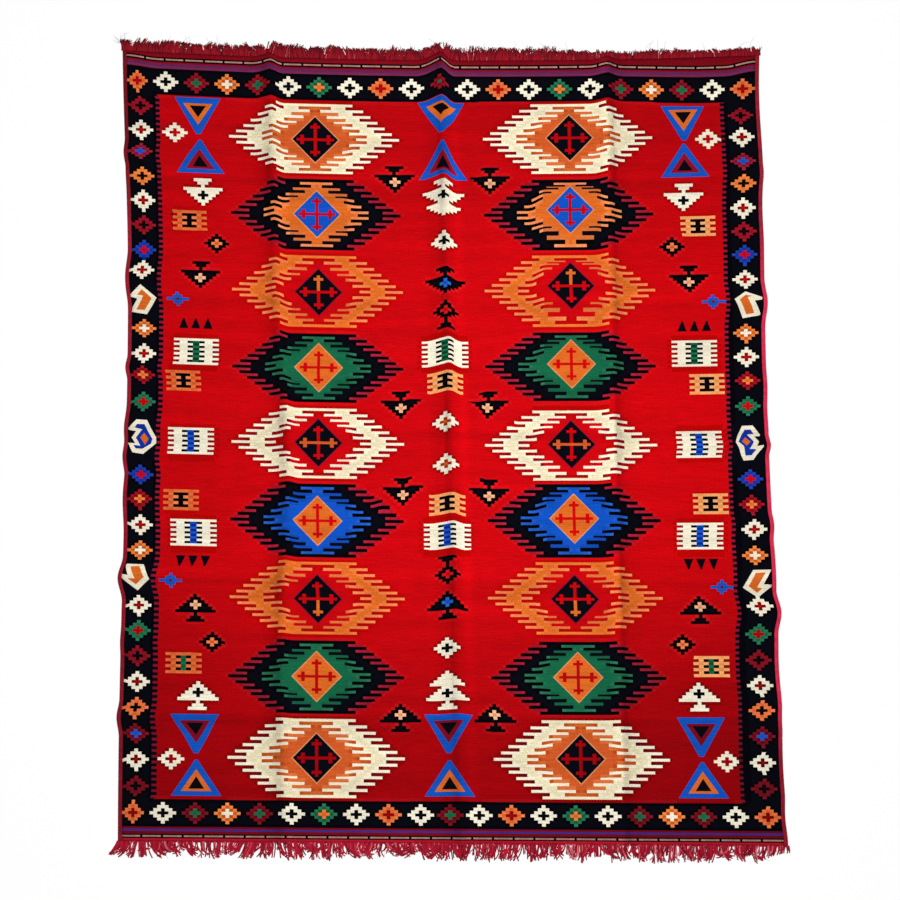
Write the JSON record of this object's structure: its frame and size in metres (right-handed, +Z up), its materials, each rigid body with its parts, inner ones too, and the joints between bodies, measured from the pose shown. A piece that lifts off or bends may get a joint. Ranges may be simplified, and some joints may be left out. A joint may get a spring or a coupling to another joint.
{
  "type": "kilim rug",
  "caption": "Flat tapestry-woven rug laid out, with whipped side bindings, a short fringe at each end and soft fold ridges.",
  "frame": {"origin": "on the floor under the middle of the rug, fringes included", "axes": "+Z up from the floor, +Y along the rug to its top end, +X across the rug to its right-hand binding"},
  "size_m": [2.0536, 2.5208, 0.024],
  "materials": {
    "cloth": "wool tapestry weave, matt, red field with a black border and many-coloured motifs",
    "binding": "wool yarn whipped over the edge, slight sheen",
    "fringe": "plied wool yarn ends, slight sheen"
  },
  "bodies": {
    "root": {"cloth": "cloth", "binding_left": "binding", "binding_right": "binding", "fringe_top": "fringe", "fringe_bottom": "fringe"}
  },
  "joints": []
}
